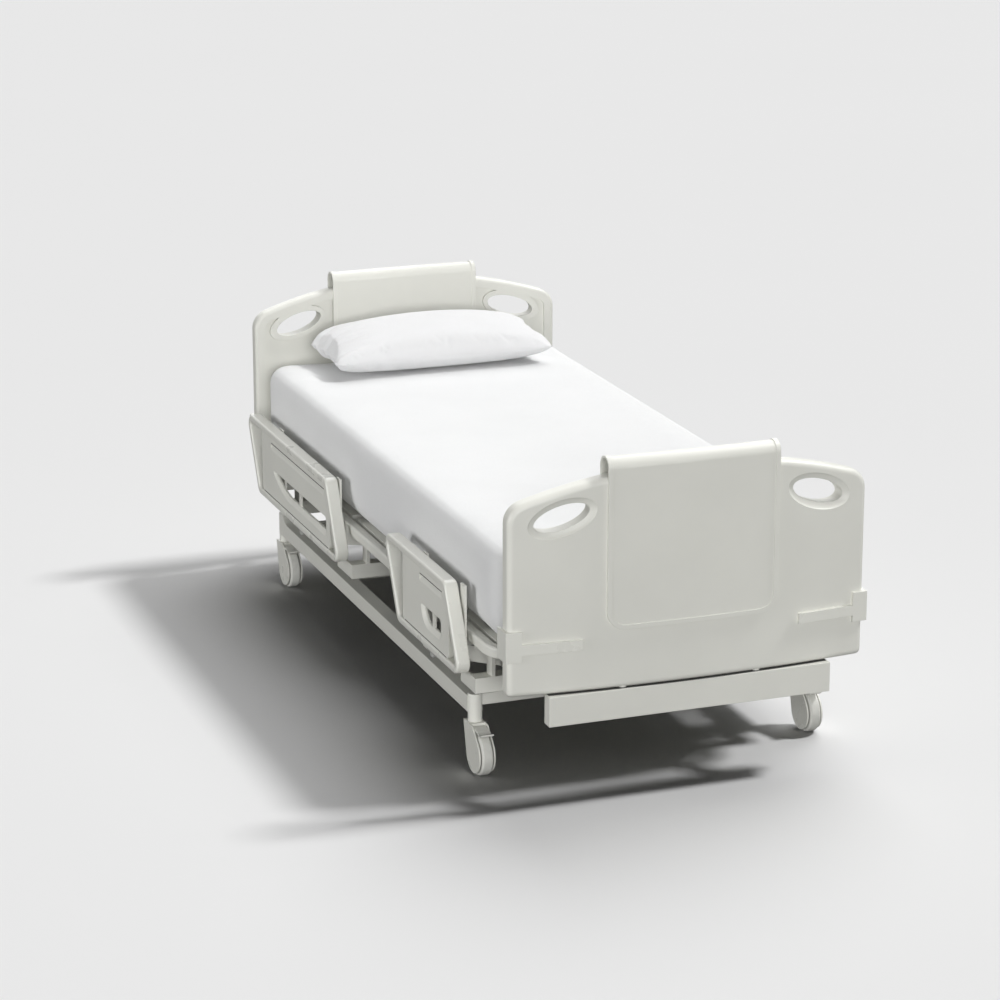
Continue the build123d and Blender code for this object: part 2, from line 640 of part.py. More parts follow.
def knuckles(hinge_y, towards, moving):
    """Add the hinge knuckles of one leaf, joined to its panel on the given side."""
    for hinge_x in HINGE_XS:
        barrels = [(-MOVING_KNUCKLE, MOVING_KNUCKLE)] if moving else both(FIXED_KNUCKLE)
        for barrel in barrels:
            x = (hinge_x + barrel[0], hinge_x + barrel[1])
            rod_x(x, hinge_y, HINGE_Z, KNUCKLE_RADIUS)
            block(x, span(hinge_y, hinge_y + towards * 26), (HINGE_Z - 6, PANEL_Z[0] + 6))


def hinge_bores(hinge_y, radius=HINGE_PIN_RADIUS + RUNNING):
    """Cut the bores of the two hinges on one axis."""
    for hinge_x in HINGE_XS:
        rod_x((hinge_x - 50, hinge_x + 50), hinge_y, HINGE_Z, radius, mode=Mode.SUBTRACT)


def lever(actuator_x, points, pin):
    """Add a pair of lever plates under a panel, with their pin."""
    for side in both(LEVER_PLATES):
        plate_x(points, (actuator_x + side[0], actuator_x + side[1]))
    rod_x((actuator_x - LEVER_PLATES[1], actuator_x + LEVER_PLATES[1]), pin[0], pin[1], LEVER_PIN_RADIUS)


EDGE = 18                     # a moving panel's edge stands off its hinge
FIXED_EDGE = 16
SEAT_YS = (KNEE_HINGE_Y + FIXED_EDGE, BACK_HINGE_Y - FIXED_EDGE)
BACK_YS = (BACK_HINGE_Y + EDGE, 992)
THIGH_YS = (CALF_HINGE_Y + FIXED_EDGE, KNEE_HINGE_Y - EDGE)
CALF_YS = (-970, CALF_HINGE_Y - EDGE)


def panel(y_range, bottom=PANEL_Z[0], corners=(1, 1)):
    """Add a flat platform panel, with its corner radii at the foot and head edges."""
    middle = (y_range[0] + y_range[1]) / 2
    with BuildSketch(Plane.XY.offset(bottom)) as outline:
        with Locations((0, middle)):
            Rectangle(2 * PANEL_HALF_WIDTH, y_range[1] - y_range[0])
        fillet(outline.vertices().group_by(Axis.Y)[0], radius=corners[0])
        fillet(outline.vertices().group_by(Axis.Y)[-1], radius=corners[1])
    extrude(outline.sketch, amount=PANEL_Z[1] - bottom)


with BuildPart() as seat_panel:
    panel(SEAT_YS, bottom=MEMBER_Z[1])
    slots((SEAT_YS[0] + 30, SEAT_YS[1] - 30), 3)
    knuckles(BACK_HINGE_Y, -1, moving=False)
    knuckles(KNEE_HINGE_Y, 1, moving=False)
    hinge_bores(BACK_HINGE_Y)
    hinge_bores(KNEE_HINGE_Y)
save(seat_panel.part, "seat_panel")

with BuildPart() as hinge_pins:
    for hinge_y in (BACK_HINGE_Y, KNEE_HINGE_Y):
        for hinge_x in HINGE_XS:
            rod_x((hinge_x - 49, hinge_x + 49), hinge_y, HINGE_Z, HINGE_PIN_RADIUS)
            rod_x((hinge_x + 46.3, hinge_x + 50), hinge_y, HINGE_Z, HINGE_PIN_RADIUS + 3)
save(hinge_pins.part, "hinge_pins")

with BuildPart() as back_panel:
    panel(BACK_YS, corners=(1, DECK_CORNER - DECK_BAR + 8))
    slots((BACK_YS[0] + 60, BACK_YS[1] - 30), 10)
    knuckles(BACK_HINGE_Y, 1, moving=True)
    hinge_bores(BACK_HINGE_Y)
    lever(
        BACK_ACTUATOR_X,
        [(BACK_YS[0] + 2, PANEL_Z[0] + 2), (BACK_YS[0] + 34, PANEL_Z[0] + 2),
         (BACK_PIN[0] + 15, BACK_PIN[1] - 11), (BACK_PIN[0] - 11, BACK_PIN[1] - 11),
         (BACK_PIN[0] - 11, BACK_PIN[1] + 8)],
        BACK_PIN,
    )
save(back_panel.part, "back_panel")

with BuildPart() as thigh_panel:
    panel(THIGH_YS)
    slots((THIGH_YS[0] + 30, THIGH_YS[1] - 50), 4)
    knuckles(KNEE_HINGE_Y, -1, moving=True)
    knuckles(CALF_HINGE_Y, 1, moving=False)
    hinge_bores(KNEE_HINGE_Y)
    for hinge_x in HINGE_XS:
        rod_x((hinge_x - FIXED_KNUCKLE[1], hinge_x + FIXED_KNUCKLE[1]), CALF_HINGE_Y, HINGE_Z, HINGE_PIN_RADIUS)
    lever(
        KNEE_ACTUATOR_X,
        [(THIGH_YS[1] - 2, PANEL_Z[0] + 2), (THIGH_YS[1] - 34, PANEL_Z[0] + 2),
         (KNEE_PIN[0] - 15, KNEE_PIN[1] - 11), (KNEE_PIN[0] + 11, KNEE_PIN[1] - 11),
         (KNEE_PIN[0] + 11, KNEE_PIN[1] + 8)],
        KNEE_PIN,
    )
save(thigh_panel.part, "thigh_panel")

with BuildPart() as calf_panel:
    panel(CALF_YS, corners=(DECK_CORNER - DECK_BAR + 8, 1))
    slots((CALF_YS[0] + 30, CALF_YS[1] - 40), 7)
    knuckles(CALF_HINGE_Y, -1, moving=True)
    hinge_bores(CALF_HINGE_Y)
save(calf_panel.part, "calf_panel")


# ---------------------------------------------------------------- control box
with BuildPart() as control_box:
    block((180, 320), (-720, -600), (300, MEMBER_Z[0]))
    fillet(control_box.edges(), radius=5)
    for x in (205, 235, 265, 295):
        rod_y(x, (-728, -719), 325, 9)
        rod_y(x, (-729, -723), 325, 6, mode=Mode.SUBTRACT)
save(control_box.part, "control_box")


# ---------------------------------------------------------------- mattress and pillow
BACK_NOTCH = BACK_TRAVEL / 2 + 1       # degrees each side of the back hinge
KNEE_NOTCH = KNEE_TRAVEL + 0.5         # all on the thigh's side
BUTT = 1


def section(corners, rounded_end=None):
    """One mattress section from its side profile, with rounded plan corners at an end."""
    with BuildPart() as piece:
        plate_x(corners, (-MATTRESS_HALF_WIDTH, MATTRESS_HALF_WIDTH))
        if rounded_end is not None:
            upright = piece.edges().filter_by(Axis.Z)
            fillet(upright.sort_by(Axis.Y)[rounded_end], radius=MATTRESS_CORNER)
    return piece.part


def notch(z, angle):
    """Set-back of a notch's face at a height above its hinge."""
    return (z - HINGE_Z) * tan(radians(angle))


low, high = MATTRESS_Z
save(section([
    (BACK_HINGE_Y + notch(low, BACK_NOTCH), low), (MATTRESS_YS[1], low),
    (MATTRESS_YS[1], high), (BACK_HINGE_Y + notch(high, BACK_NOTCH), high),
], rounded_end=slice(-2, None)), "mattress_back")
save(section([
    (KNEE_HINGE_Y + BUTT, low), (BACK_HINGE_Y - notch(low, BACK_NOTCH), low),
    (BACK_HINGE_Y - notch(high, BACK_NOTCH), high), (KNEE_HINGE_Y + BUTT, high),
]), "mattress_seat")
save(section([
    (CALF_HINGE_Y + BUTT, low), (KNEE_HINGE_Y - notch(low, KNEE_NOTCH), low),
    (KNEE_HINGE_Y - notch(high, KNEE_NOTCH), high), (CALF_HINGE_Y + BUTT, high),
]), "mattress_thigh")
save(section([
    (MATTRESS_YS[0], low), (CALF_HINGE_Y - BUTT, low),
    (CALF_HINGE_Y - BUTT, high), (MATTRESS_YS[0], high),
], rounded_end=slice(0, 2)), "mattress_calf")

PILLOW_CENTRE = (18, 875)
PILLOW_SIZE = (718, 320, 122)
with BuildPart() as pillow:
    with Locations((*PILLOW_CENTRE, high + 1 + PILLOW_SIZE[2] / 2)):
        Box(*PILLOW_SIZE)
    fillet(pillow.edges(), radius=52)
save(pillow.part, "pillow")


# ---------------------------------------------------------------- end boards
BOARD_TOP_CORNER = 56
BOARD_BOTTOM_CORNER = 14
BOARD_ROUND = 15              # roll of the board's edges
RECESS_BORDER = 30
RECESS_DEPTH = 7
GRIP_X = 342
GRIP_HEIGHT = 738
GRIP_SIZE = (73, 30)          # semi-axes of a hand hole
GRIP_RIM = (91, 46)           # semi-axes of its bevel
GRIP_TILT = 15.5


def board_outline():
    """Face of a board seen from its end of the bed."""
    with BuildSketch() as outline:
        with BuildLine():
            Polyline(
                (-BOARD_HALF_WIDTH, BOARD_SHOULDER_Z), (-BOARD_HALF_WIDTH, BOARD_Z[0]),
                (BOARD_HALF_WIDTH, BOARD_Z[0]), (BOARD_HALF_WIDTH, BOARD_SHOULDER_Z),
            )
            ThreePointArc(
                (BOARD_HALF_WIDTH, BOARD_SHOULDER_Z), (0, BOARD_Z[1]), (-BOARD_HALF_WIDTH, BOARD_SHOULDER_Z))
        make_face()
        fillet(outline.vertices().group_by(Axis.Y)[-1], radius=BOARD_TOP_CORNER)
        fillet(outline.vertices().group_by(Axis.Y)[0], radius=BOARD_BOTTOM_CORNER)
    return outline.sketch


def bowed(near, far):
    """Keep only the layer between two depths behind the board's outer face."""
    with BuildSketch(Plane.XY) as ring:
        with Locations((0, BOW_CENTRE_Y)):
            Circle(BOARD_BOW - near)
            Circle(BOARD_BOW - far, mode=Mode.SUBTRACT)
        with Locations((0, -BOARD_FACE)):
            Rectangle(1200, 400, mode=Mode.INTERSECT)
    extrude(ring.sketch, amount=1000, mode=Mode.INTERSECT)


def bow_faces(part, radius):
    """Faces of a board that follow one bow radius."""
    return part.faces().filter_by(GeomType.CYLINDER).filter_by(lambda face: abs(face.radius - radius) < 0.5)


def grip_plane(x):
    """Tangent plane of the board's outer face at a hand hole."""
    lean = x / BOARD_BOW
    origin = (x, BOW_CENTRE_Y - BOARD_BOW * cos(lean), GRIP_HEIGHT)
    return Plane(origin=origin, x_dir=(cos(lean), sin(lean), 0), z_dir=(sin(lean), -cos(lean), 0))


FACE_PLANE = Plane.XZ.offset(BOARD_FACE - 100)

with BuildPart() as recess:
    with BuildSketch(FACE_PLANE):
        add(board_outline())
        offset(amount=-RECESS_BORDER)
        for x in (-GRIP_X, GRIP_X):
            tilt = GRIP_TILT if x < 0 else -GRIP_TILT
            with Locations((x, GRIP_HEIGHT)):
                Ellipse(*GRIP_RIM, rotation=tilt, mode=Mode.SUBTRACT)
    extrude(amount=200)
    bowed(BOARD_THICKNESS - RECESS_DEPTH, BOARD_THICKNESS + 5)

with BuildPart() as board:
    with BuildSketch(FACE_PLANE):
        add(board_outline())
    extrude(amount=200)
    bowed(0, BOARD_THICKNESS)
    fillet(bow_faces(board, BOARD_BOW).edges(), radius=BOARD_ROUND)
    fillet(bow_faces(board, BOARD_BOW - BOARD_THICKNESS).edges(), radius=10)
    add(recess.part, mode=Mode.SUBTRACT)
    for x in (-GRIP_X, GRIP_X):
        tilt = GRIP_TILT if x < 0 else -GRIP_TILT
        face = grip_plane(x)
        with BuildSketch(face.offset(10)) as hole:
            Ellipse(*GRIP_SIZE, rotation=tilt)
        extrude(hole.sketch, amount=-80, mode=Mode.SUBTRACT)
        for depth, size in ((1, GRIP_RIM), (-9, GRIP_SIZE)):
            with BuildSketch(face.offset(depth)):
                Ellipse(*size, rotation=tilt)
        loft(mode=Mode.SUBTRACT)
    for x in (-POST_X, POST_X):
        rod_z(x, -POST_Y, (BEAM_Z[1] - SOCKET_DEPTH + 4, BOARD_Z[0] + 12), POST_RADIUS)

ACCENT_HALF_WIDTH = 228
ACCENT_BEAD = 12
ACCENT_Z = (442, 852)         # bottom edge and the middle of the rolled top
ACCENT_CORNER = 50
ACCENT_PROUD = 4
SWEEP = 4                     # degrees each side of the middle


def folded_profile(proud, gap):
    """Upside-down U over the board's top, on a plane through the bow's axis."""
    start = radians(SWEEP)
    plane = Plane(origin=(0, BOW_CENTRE_Y, 0), x_dir=(-sin(start), -cos(start), 0),
                  z_dir=(-cos(start), sin(start), 0))
    middle = BOARD_BOW - BOARD_THICKNESS / 2
    with BuildSketch(plane) as profile:
        for half, mode in ((BOARD_THICKNESS / 2 + proud, Mode.ADD), (BOARD_THICKNESS / 2 + gap, Mode.SUBTRACT)):
            with Locations((middle, (ACCENT_Z[0] + ACCENT_Z[1]) / 2)):
                Rectangle(2 * half, ACCENT_Z[1] - ACCENT_Z[0], mode=mode)
            with Locations((middle, ACCENT_Z[1])):
                Circle(half, mode=mode)
    return profile.sketch


def accent_outline(inset):
    """Rounded outline of the accent panel's face."""
    half = ACCENT_HALF_WIDTH - inset
    bottom = ACCENT_Z[0] + inset
    with BuildSketch() as outline:
        with Locations((0, (bottom + 900) / 2)):
            Rectangle(2 * half, 900 - bottom)
        fillet(outline.vertices().group_by(Axis.Y)[0], radius=ACCENT_CORNER - inset)
    return outline.sketch


def folded_sheet(proud):
    """Bowed sheet folded over the board."""
    bow_axis = Axis((0, BOW_CENTRE_Y, 0), (0, 0, 1))
    revolve(folded_profile(proud, 0.3), axis=bow_axis, revolution_arc=2 * SWEEP)


with BuildPart() as bead:
    folded_sheet(BEAD_PROUD)
    with BuildSketch(FACE_PLANE) as band:
        add(accent_outline(0))
        add(accent_outline(ACCENT_BEAD), mode=Mode.SUBTRACT)
    extrude(band.sketch, amount=200, mode=Mode.INTERSECT)

with BuildPart() as accent_panel:
    folded_sheet(ACCENT_PROUD)
    with BuildSketch(FACE_PLANE) as sheet:
        add(accent_outline(ACCENT_BEAD - 1))
    extrude(sheet.sketch, amount=200, mode=Mode.INTERSECT)
    add(bead.part)

CLIP_X = (445, 486)
CLIP_Z = (383, 460)
STRAP_X = (290, 446)
STRAP_Z = (400, 427)
STRAP_PROUD = 8

with BuildPart() as strap:
    block(STRAP_X, (-1200, -1000), STRAP_Z)
    bowed(-STRAP_PROUD, BOARD_THICKNESS / 2)

with BuildPart() as board_brackets:
    block(CLIP_X, (-1200, -1000), CLIP_Z)
    bowed(-STRAP_PROUD, BOARD_THICKNESS + 6)
    add(strap.part)
    add(board.part, mode=Mode.SUBTRACT)
    block((CLIP_X[0] - 200, CLIP_X[1] - 8), (-1083, -1040), (CLIP_Z[0] - 1, CLIP_Z[1] + 1), mode=Mode.SUBTRACT)
    mirror(about=Plane.YZ)

for end, flip in (("foot", False), ("head", True)):
    pieces = {
        "board": board.part,
        "accent_panel": accent_panel.part,
        "board_brackets": board_brackets.part,
    }
    for kind, piece in pieces.items():
        save(piece.mirror(Plane.XZ) if flip else piece, f"{end}_{kind}")
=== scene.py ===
import json
from math import pi, radians

import bmesh
import bpy
import numpy as np
from mathutils import Euler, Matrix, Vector


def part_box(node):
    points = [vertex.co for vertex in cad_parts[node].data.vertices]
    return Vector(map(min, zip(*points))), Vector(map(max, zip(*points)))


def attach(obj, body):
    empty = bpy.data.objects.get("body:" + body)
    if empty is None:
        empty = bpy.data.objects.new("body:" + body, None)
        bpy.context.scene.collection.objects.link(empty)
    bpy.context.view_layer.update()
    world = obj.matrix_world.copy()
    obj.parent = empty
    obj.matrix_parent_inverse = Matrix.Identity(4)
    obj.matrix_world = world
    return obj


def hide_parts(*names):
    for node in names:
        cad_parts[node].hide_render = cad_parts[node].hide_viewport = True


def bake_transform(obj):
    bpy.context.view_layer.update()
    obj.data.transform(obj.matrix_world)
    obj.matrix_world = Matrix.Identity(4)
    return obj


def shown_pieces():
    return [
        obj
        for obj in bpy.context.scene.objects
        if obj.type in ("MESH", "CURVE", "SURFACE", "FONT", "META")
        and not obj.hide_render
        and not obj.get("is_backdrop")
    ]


# Adjustable hospital bed: materials, mattress, pillow, small fittings, light and camera.
# Everything is in metres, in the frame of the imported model: +Y is the head end.

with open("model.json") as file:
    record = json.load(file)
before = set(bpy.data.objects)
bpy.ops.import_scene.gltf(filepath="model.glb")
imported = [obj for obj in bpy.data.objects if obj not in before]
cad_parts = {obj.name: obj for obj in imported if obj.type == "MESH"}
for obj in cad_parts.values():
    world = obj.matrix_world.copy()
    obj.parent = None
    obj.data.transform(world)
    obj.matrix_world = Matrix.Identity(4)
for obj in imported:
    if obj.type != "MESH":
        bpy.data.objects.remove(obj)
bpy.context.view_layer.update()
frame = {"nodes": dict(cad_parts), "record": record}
NODES = frame["nodes"]
ENDS = ("foot", "head")
SIDES = ("left", "right")

# ---------------------------------------------------------------- camera
CAMERA_PLACE = (-3.1152, -8.1161, 3.0119)
CAMERA_PITCH = -0.2873        # below the horizon, in radians
CAMERA_YAW = -0.3568          # from +Y towards +X, in radians
CAMERA_LENS = 117.7

camera_data = bpy.data.cameras.new("camera")
camera_data.lens = CAMERA_LENS
camera_data.sensor_width = 36.0
camera_data.clip_end = 200.0
camera = bpy.data.objects.new("camera", camera_data)
camera.location = CAMERA_PLACE
camera.rotation_euler = Euler((pi / 2 + CAMERA_PITCH, 0.0, CAMERA_YAW))
bpy.context.scene.collection.objects.link(camera)
bpy.context.scene.camera = camera

# ---------------------------------------------------------------- light
FLOOR_TONE = 0.84             # linear brightness of the lit floor and the backdrop
# how bright the sky is by its height: from, to, brightness below, brightness above
DOME_RAMP = (0.12, 0.80, 0.02, 0.09)
CEILING_RAMP = (-0.05, 0.45, 0.04, 0.55)

bpy.context.scene.view_settings.view_transform = "Standard"
bpy.context.scene.view_settings.look = "None"


def add_sun(name, azimuth, elevation, strength, size):
    """A far light from a compass direction, 0 along +X, with its apparent size in degrees."""
    data = bpy.data.lights.new(name, "SUN")
    data.energy = strength
    data.angle = radians(size)
    light = bpy.data.objects.new(name, data)
    light.rotation_euler = Euler((0.0, radians(90 - elevation), radians(azimuth)))
    bpy.context.scene.collection.objects.link(light)
    return light


add_sun("key_right", -4, 50, 2.00, 8)
add_sun("key_behind", 52, 52, 1.62, 45)
# soft fills for the bed alone, so that the floor under it stays dark
FILLS = [
    add_sun("fill_front", -100, 6, 2.70, 40),
    add_sun("fill_left", 182, 5, 2.05, 40),
    add_sun("fill_back", 80, 4, 0.90, 40),
    add_sun("fill_right", 0, 2, 0.50, 40),
]


def build_world():
    """A dim studio dome, a bright ceiling that only reflections see, and a plain pale backdrop."""
    world = bpy.data.worlds.new("studio")
    bpy.context.scene.world = world
    world.use_nodes = True
    tree = world.node_tree
    tree.nodes.clear()
    coordinates = tree.nodes.new("ShaderNodeTexCoord")
    split = tree.nodes.new("ShaderNodeSeparateXYZ")
    tree.links.new(coordinates.outputs["Generated"], split.inputs[0])
    levels = []
    for start, stop, low, high in (DOME_RAMP, CEILING_RAMP):
        ramp = tree.nodes.new("ShaderNodeMapRange")
        ramp.interpolation_type = "SMOOTHSTEP"
        ramp.inputs["From Min"].default_value = start
        ramp.inputs["From Max"].default_value = stop
        ramp.inputs["To Min"].default_value = low
        ramp.inputs["To Max"].default_value = high
        tree.links.new(split.outputs["Z"], ramp.inputs["Value"])
        levels.append(ramp.outputs["Result"])
    path = tree.nodes.new("ShaderNodeLightPath")
    strength = tree.nodes.new("ShaderNodeMix")
    tree.links.new(path.outputs["Is Glossy Ray"], strength.inputs["Factor"])
    tree.links.new(levels[0], strength.inputs["A"])
    tree.links.new(levels[1], strength.inputs["B"])
    dome = tree.nodes.new("ShaderNodeBackground")
    backdrop = tree.nodes.new("ShaderNodeBackground")
    backdrop.inputs["Color"].default_value = (FLOOR_TONE, FLOOR_TONE, FLOOR_TONE, 1.0)
    mix = tree.nodes.new("ShaderNodeMixShader")
    output = tree.nodes.new("ShaderNodeOutputWorld")
    tree.links.new(strength.outputs["Result"], dome.inputs["Strength"])
    tree.links.new(path.outputs["Is Camera Ray"], mix.inputs["Fac"])
    tree.links.new(dome.outputs[0], mix.inputs[1])
    tree.links.new(backdrop.outputs[0], mix.inputs[2])
    tree.links.new(mix.outputs[0], output.inputs["Surface"])


build_world()


# ---------------------------------------------------------------- material kit
class Shader:
    """A material under construction, with short calls for the nodes it uses."""

    def __init__(self, name):
        self.material = bpy.data.materials.new(name)
        self.material.use_nodes = True
        self.tree = self.material.node_tree
        self.bsdf = self.tree.nodes["Principled BSDF"]
        self.place = self.tree.nodes.new("ShaderNodeTexCoord").outputs["Object"]

    def node(self, kind, **values):
        made = self.tree.nodes.new(kind)
        for key, value in values.items():
            setattr(made, key, value)
        return made

    def link(self, source, target):
        self.tree.links.new(source, target)

    def noise(self, scale, detail=3.0, roughness=0.5, stretch=(1, 1, 1)):
        mapping = self.node("ShaderNodeMapping")
        mapping.inputs["Scale"].default_value = stretch
        self.link(self.place, mapping.inputs["Vector"])
        made = self.node("ShaderNodeTexNoise")
        made.inputs["Scale"].default_value = scale
        made.inputs["Detail"].default_value = detail
        made.inputs["Roughness"].default_value = roughness
        self.link(mapping.outputs[0], made.inputs["Vector"])
        return made.outputs["Fac"]

    def bands(self, axis, pitch, distortion=0.0):
        """A wave across one axis, with its pitch in metres."""
        made = self.node("ShaderNodeTexWave", wave_type="BANDS", bands_direction=axis)
        made.inputs["Scale"].default_value = pi / (10 * pitch)
        made.inputs["Distortion"].default_value = distortion
        self.link(self.place, made.inputs["Vector"])
        return made.outputs["Fac"]

    def spread(self, value, low, high, out_low, out_high):
        made = self.node("ShaderNodeMapRange")
        made.inputs["From Min"].default_value = low
        made.inputs["From Max"].default_value = high
        made.inputs["To Min"].default_value = out_low
        made.inputs["To Max"].default_value = out_high
        self.link(value, made.inputs["Value"])
        return made.outputs["Result"]

    def combine(self, operation, first, second):
        made = self.node("ShaderNodeMath", operation=operation)
        for socket, value in zip(made.inputs, (first, second)):
            if isinstance(value, (int, float)):
                socket.default_value = value
            else:
                self.link(value, socket)
        return made.outputs[0]

    def mix(self, factor, first, second):
        made = self.node("ShaderNodeMix", data_type="RGBA")
        self.link(factor, made.inputs["Factor"])
        for socket, value in ((made.inputs["A"], first), (made.inputs["B"], second)):
            if isinstance(value, tuple):
                socket.default_value = (*value, 1.0)
            else:
                self.link(value, socket)
        return made.outputs["Result"]

    def edge_mask(self, radius):
        """1 on sharp convex and concave edges, 0 on open faces, and the rounded normal."""
        bevel = self.node("ShaderNodeBevel", samples=4)
        bevel.inputs["Radius"].default_value = radius
        geometry = self.node("ShaderNodeNewGeometry")
        dot = self.node("ShaderNodeVectorMath", operation="DOT_PRODUCT")
        self.link(bevel.outputs[0], dot.inputs[0])
        self.link(geometry.outputs["Normal"], dot.inputs[1])
        return self.spread(dot.outputs["Value"], 0.99, 0.80, 0.0, 1.0), bevel.outputs[0]

    def bump(self, height, distance, strength=1.0, normal=None):
        made = self.node("ShaderNodeBump")
        made.inputs["Strength"].default_value = strength
        made.inputs["Distance"].default_value = distance
        self.link(height, made.inputs["Height"])
        if normal is not None:
            self.link(normal, made.inputs["Normal"])
        return made.outputs[0]

    def set(self, **values):
        """Set or link Principled inputs, named with underscores for spaces."""
        for key, value in values.items():
            socket = self.bsdf.inputs[key.replace("_", " ")]
            if isinstance(value, bpy.types.NodeSocket):
                self.link(value, socket)
            elif isinstance(value, tuple):
                socket.default_value = (*value, 1.0)
            else:
                socket.default_value = value


EDGE_RADIUS = 0.0015          # how round a painted or moulded edge looks


def shaded(tone, factor):
    """The same hue, lighter or darker."""
    return tuple(channel * factor for channel in tone)


def hard_surface(name, tone, roughness, grain, grain_depth, coat=0.0):
    """Paint or moulded plastic: uneven tone, fine grain, a painted highlight in patches on the edges,
    and faint scuffs.
    """
    shader = Shader(name)
    broad = shader.noise(2.6, detail=4.0, roughness=0.6)
    cloud = shader.spread(broad, 0.35, 0.68, 0.0, 1.0)
    colour = shader.mix(cloud, shaded(tone, 0.965), shaded(tone, 1.02))
    # painted highlight: the edges are made lighter in patches, where the light would catch them
    edge, rounded = shader.edge_mask(EDGE_RADIUS)
    highlight_patches = shader.spread(shader.noise(12.0), 0.20, 0.90, 0.1, 0.4)
    edge_highlight = shader.combine("MULTIPLY", edge, highlight_patches)
    colour = shader.mix(edge_highlight, colour, shaded(tone, 1.05))
    streaks = shader.noise(16.0, detail=8.0, roughness=0.75, stretch=(1, 1, 5))
    scuffs = shader.spread(streaks, 0.60, 0.86, 0.0, 0.10)
    colour = shader.mix(scuffs, colour, shaded(tone, 0.96))
    haze = shader.noise(9.0, detail=5.0)
    rough = shader.spread(haze, 0.3, 0.7, roughness - 0.05, roughness + 0.06)
    rough = shader.combine("ADD", rough, shader.combine("MULTIPLY", scuffs, 0.08))
    surface = shader.bump(shader.noise(grain, detail=2.0), grain_depth, 0.6, rounded)
    shader.set(Base_Color=colour, Roughness=rough, Normal=surface, Coat_Weight=coat, Coat_Roughness=0.22)
    return shader.material


def bright_steel(name):
    """Ground and plated bar, with fine turning lines."""
    shader = Shader(name)
    lines = shader.noise(60.0, detail=5.0, stretch=(1, 22, 22))
    colour = shader.mix(lines, (0.52, 0.53, 0.54), (0.66, 0.67, 0.67))
    rough = shader.spread(lines, 0.3, 0.7, 0.18, 0.34)
    turned = shader.bump(lines, 0.00015, 0.4)
    shader.set(Base_Color=colour, Roughness=rough, Metallic=1.0, Normal=turned)
    return shader.material


def woven_cotton(name, tone, thread, crease, sheen):
    """Sheeting: a plain weave both ways, slubs, and soft creases."""
    shader = Shader(name)
    cross = shader.combine("ADD", shader.bands("X", thread, 0.4), shader.bands("Y", thread, 0.4))
    weave = shader.combine("ADD", cross, shader.bands("Z", thread, 0.4))
    slubs = shader.noise(420.0, detail=3.0, stretch=(1, 0.15, 1))
    broad = shader.noise(3.2, detail=5.0, roughness=0.55)
    colour = shader.mix(shader.spread(broad, 0.35, 0.65, 0.0, 1.0), shaded(tone, 0.975), tone)
    colour = shader.mix(shader.spread(slubs, 0.55, 0.75, 0.0, 0.5), colour, shaded(tone, 0.94))
    soft = shader.bump(shader.noise(5.5, detail=3.0, roughness=0.45), crease, 1.0)
    fine = shader.bump(shader.noise(70.0, detail=4.0), 0.0006, 0.5, soft)
    threads = shader.bump(weave, 0.00025, 0.5, fine)
    rough = shader.spread(slubs, 0.2, 0.8, 0.82, 0.95)
    shader.set(Base_Color=colour, Roughness=rough, Normal=threads, Sheen_Weight=sheen,
               Sheen_Roughness=0.45, Specular_IOR_Level=0.25)
    return shader.material


def wheel_material(node):
    """Moulded wheel: an off-white hub and a slightly darker tyre, told apart by radius."""
    low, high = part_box(node)
    centre = (low + high) / 2
    rim = (high.z - low.z) / 2 - 0.011
    shader = Shader(f"{node}_finish")
    offset = shader.node("ShaderNodeVectorMath", operation="SUBTRACT")
    offset.inputs[1].default_value = centre
    shader.link(shader.place, offset.inputs[0])
    flat = shader.node("ShaderNodeVectorMath", operation="MULTIPLY")
    flat.inputs[1].default_value = (0, 1, 1)
    shader.link(offset.outputs[0], flat.inputs[0])
    length = shader.node("ShaderNodeVectorMath", operation="LENGTH")
    shader.link(flat.outputs[0], length.inputs[0])
    radius = length.outputs["Value"]
    tyre = shader.spread(radius, rim - 0.0003, rim + 0.0003, 0.0, 1.0)
    dust = shader.spread(shader.noise(45.0, detail=5.0), 0.4, 0.75, 0.0, 0.6)
    rolled = shader.mix(dust, shaded(WHEEL_TONE, 0.84), shaded(WHEEL_TONE, 0.68))
    hub = shader.mix(shader.noise(30.0), shaded(WHEEL_TONE, 0.95), WHEEL_TONE)
    past_rim = shader.combine("SUBTRACT", radius, rim)
    groove = shader.spread(shader.combine("ABSOLUTE", past_rim, 0.0), 0.0, 0.0012, 1.0, 0.0)
    colour = shader.mix(groove, shader.mix(tyre, hub, rolled), shaded(WHEEL_TONE, 0.40))
    rough = shader.spread(tyre, 0.0, 1.0, 0.34, 0.62)
    _, rounded = shader.edge_mask(0.001)
    shader.set(Base_Color=colour, Roughness=rough,
               Normal=shader.bump(shader.noise(500.0), 0.0002, 0.6, rounded))
    return shader.material


PAINT_TONE = (0.745, 0.745, 0.690)
WHEEL_TONE = (0.76, 0.76, 0.71)
MOTOR_TONE = (0.33, 0.33, 0.32)
LATCH_TONE = (0.42, 0.42, 0.40)
COVER_TONE = (0.825, 0.83, 0.83)
CASE_TONE = (0.80, 0.80, 0.805)
